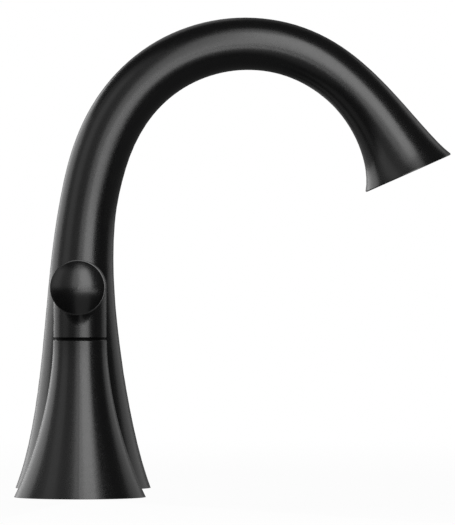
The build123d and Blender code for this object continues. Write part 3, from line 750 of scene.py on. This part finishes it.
LIGHT_CENTRE = Vector((0.03, 0.0, 0.10))
SOFTBOXES = (
    ("key", 2.5, 37, -2, 52, 1.5, 4.5),
    ("key_left", -17, 2.5, -2, 52, 1.5, 1.9),
    ("key_top", -8, 33, 52, 68, 1.5, 1.7),
    ("wall_left", -100, -20, -2, 57, 2.2, 0.34),
    ("box_left", -76, -50, -2, 45, 2.0, 0.5),
    ("strip_back_left", -156, -101, -2, 27, 2.0, 1.6),
    ("strip_back_right", 108, 150, -2, 36, 2.0, 0.55),
)


def flat_lamp(name, place, rotation, width, tall, radiance):
    """An even rectangle of light, which the camera does not see."""
    lamp = bpy.data.lights.new(name, "AREA")
    lamp.shape = "RECTANGLE"
    lamp.size = width
    lamp.size_y = tall
    lamp.energy = radiance * math.pi * width * tall
    lamp_object = bpy.data.objects.new(name, lamp)
    lamp_object.location = place
    lamp_object.rotation_euler = rotation
    lamp_object.visible_camera = False
    scene.collection.objects.link(lamp_object)


def facing(turn):
    """Level direction at a turn in radians to the right of the camera."""
    return Vector((math.sin(turn), -math.cos(turn), 0))


def softbox(name, left, right, low, high, distance, radiance):
    middle = math.radians((left + right) / 2)
    half_turn = math.radians((right - left) / 2)
    bottom = distance * math.tan(math.radians(low))
    top = distance * math.tan(math.radians(high))
    place = LIGHT_CENTRE + facing(middle) * distance + Vector((0, 0, (bottom + top) / 2))
    rotation = (math.pi / 2, 0, middle)
    flat_lamp(name, place, rotation, 2 * distance * math.tan(half_turn), top - bottom, radiance)


for box in SOFTBOXES:
    softbox(*box)

# The key's lower end, laid along the floor in front, one metre away
KEY_LOW_TURN = math.radians(18)
KEY_LOW_START = Vector((0.03, 0, 0.002))
KEY_LOW_WIDTH = 0.56
KEY_LOW_LENGTH = 1.0
KEY_LOW_RADIANCE = 3.4
flat_lamp(
    "key_low", facing(KEY_LOW_TURN) + KEY_LOW_START, (math.pi, 0, KEY_LOW_TURN),
    KEY_LOW_WIDTH, KEY_LOW_LENGTH, KEY_LOW_RADIANCE,
)


# Sheets that stand for the unlit room, unseen by the camera and without a shadow; their glow is
# painted light and painted shade, not lamps

def painted_glow(name, radiance):
    """A material that glows evenly though it is no lamp: painted light where bright, painted shade
    where dim.
    """
    material = bpy.data.materials.new(name)
    material.use_nodes = True
    tree = material.node_tree
    tree.nodes.remove(tree.nodes["Principled BSDF"])
    gloom = tree.nodes.new("ShaderNodeEmission")
    gloom.inputs["Color"].default_value = WHITE
    gloom.inputs["Strength"].default_value = radiance
    tree.links.new(gloom.outputs[0], tree.nodes["Material Output"].inputs["Surface"])
    return material


def hung_sheet(name, corners, faces, materials, picks):
    """A sheet whose picks say which of the materials each face has."""
    mesh = bpy.data.meshes.new(name)
    mesh.from_pydata(corners, [], faces)
    for material in materials:
        mesh.materials.append(material)
    mesh.polygons.foreach_set("material_index", picks)
    sheet_object = bpy.data.objects.new(name, mesh)
    sheet_object.visible_camera = False
    sheet_object.visible_shadow = False
    scene.collection.objects.link(sheet_object)


ROUND_STEPS = 48


def around(step, radius, height):
    """A point on a circle round the set, counted from the camera's side to the right."""
    turn = math.tau * step / ROUND_STEPS
    return (radius * math.sin(turn), -radius * math.cos(turn), height)


def step_turn(step):
    """Middle of a step in degrees to the right of the camera, from 0 to 360."""
    return 360 * (step + 0.5) / ROUND_STEPS


# Tent: a dome whose dim glow is painted shade for the dark room, with two screens of brighter
# painted light behind the set, the left one brighter than the right, which reach SCREEN_TURN
# degrees to either side and SCREEN_TOP degrees up
TENT_RADIUS = 4.0
TENT_RINGS = 12
SCREEN_TURN = 30.0
SCREEN_TOP = 50.0
# Painted shade for the dome, and painted light for the right and left screens
TENT_PAINTED_GLOWS = (painted_glow("tent_painted_shade", 0.05), painted_glow("screen_right", 0.15), painted_glow("screen_left", 0.4))
TENT_PLAIN, TENT_RIGHT, TENT_LEFT = range(3)

corners, faces, picks = [], [], []
for level in range(TENT_RINGS + 1):
    rise = math.pi / 2 * level / TENT_RINGS
    for step in range(ROUND_STEPS):
        corners.append(around(step, TENT_RADIUS * math.cos(rise), TENT_RADIUS * math.sin(rise)))
for level in range(TENT_RINGS):
    low = 90 * (level + 0.5) / TENT_RINGS < SCREEN_TOP
    for step in range(ROUND_STEPS):
        after = (step + 1) % ROUND_STEPS
        below, above = level * ROUND_STEPS, (level + 1) * ROUND_STEPS
        faces.append((below + step, above + step, above + after, below + after))
        turn = step_turn(step)
        if low and 180 - SCREEN_TURN < turn < 180 + SCREEN_TURN:
            picks.append(TENT_RIGHT if turn < 180 else TENT_LEFT)
        else:
            picks.append(TENT_PLAIN)
hung_sheet("tent", corners, faces, TENT_PAINTED_GLOWS, picks)

# Cloth: a disc on the floor in sectors about a point near the lever's disc, whose dim glow is
# painted shade, with a sector of brighter painted light in front under the key and dimmer painted
# light in ones from the sides to the back
CLOTH_RADIUS = 3.9
CLOTH_HEIGHT = 0.0001
CLOTH_CENTRE = -0.12
SHEEN_LEFT = -8.0
SHEEN_RIGHT = 33.0
SIDE_START = 75.0
# Painted shade for the plain cloth, painted key light in front, and painted light to the left and
# right
CLOTH_PAINTED_GLOWS = (
    painted_glow("cloth_painted_shade", 0.022), painted_glow("cloth_painted_key_light", 0.34),
    painted_glow("cloth_left", 0.25), painted_glow("cloth_right", 0.1),
)
CLOTH_PLAIN, CLOTH_SHEEN, CLOTH_LEFT, CLOTH_RIGHT = range(4)

corners, faces, picks = [(0, CLOTH_CENTRE, CLOTH_HEIGHT)], [], []
for step in range(ROUND_STEPS):
    corners.append(around(step, CLOTH_RADIUS, CLOTH_HEIGHT))
    faces.append((0, 1 + step, 1 + (step + 1) % ROUND_STEPS))
    turn = step_turn(step)
    if turn > 180:
        turn -= 360
    if abs(turn) > SIDE_START:
        picks.append(CLOTH_LEFT if turn < 0 else CLOTH_RIGHT)
    else:
        picks.append(CLOTH_SHEEN if SHEEN_LEFT < turn < SHEEN_RIGHT else CLOTH_PLAIN)
hung_sheet("cloth", corners, faces, CLOTH_PAINTED_GLOWS, picks)
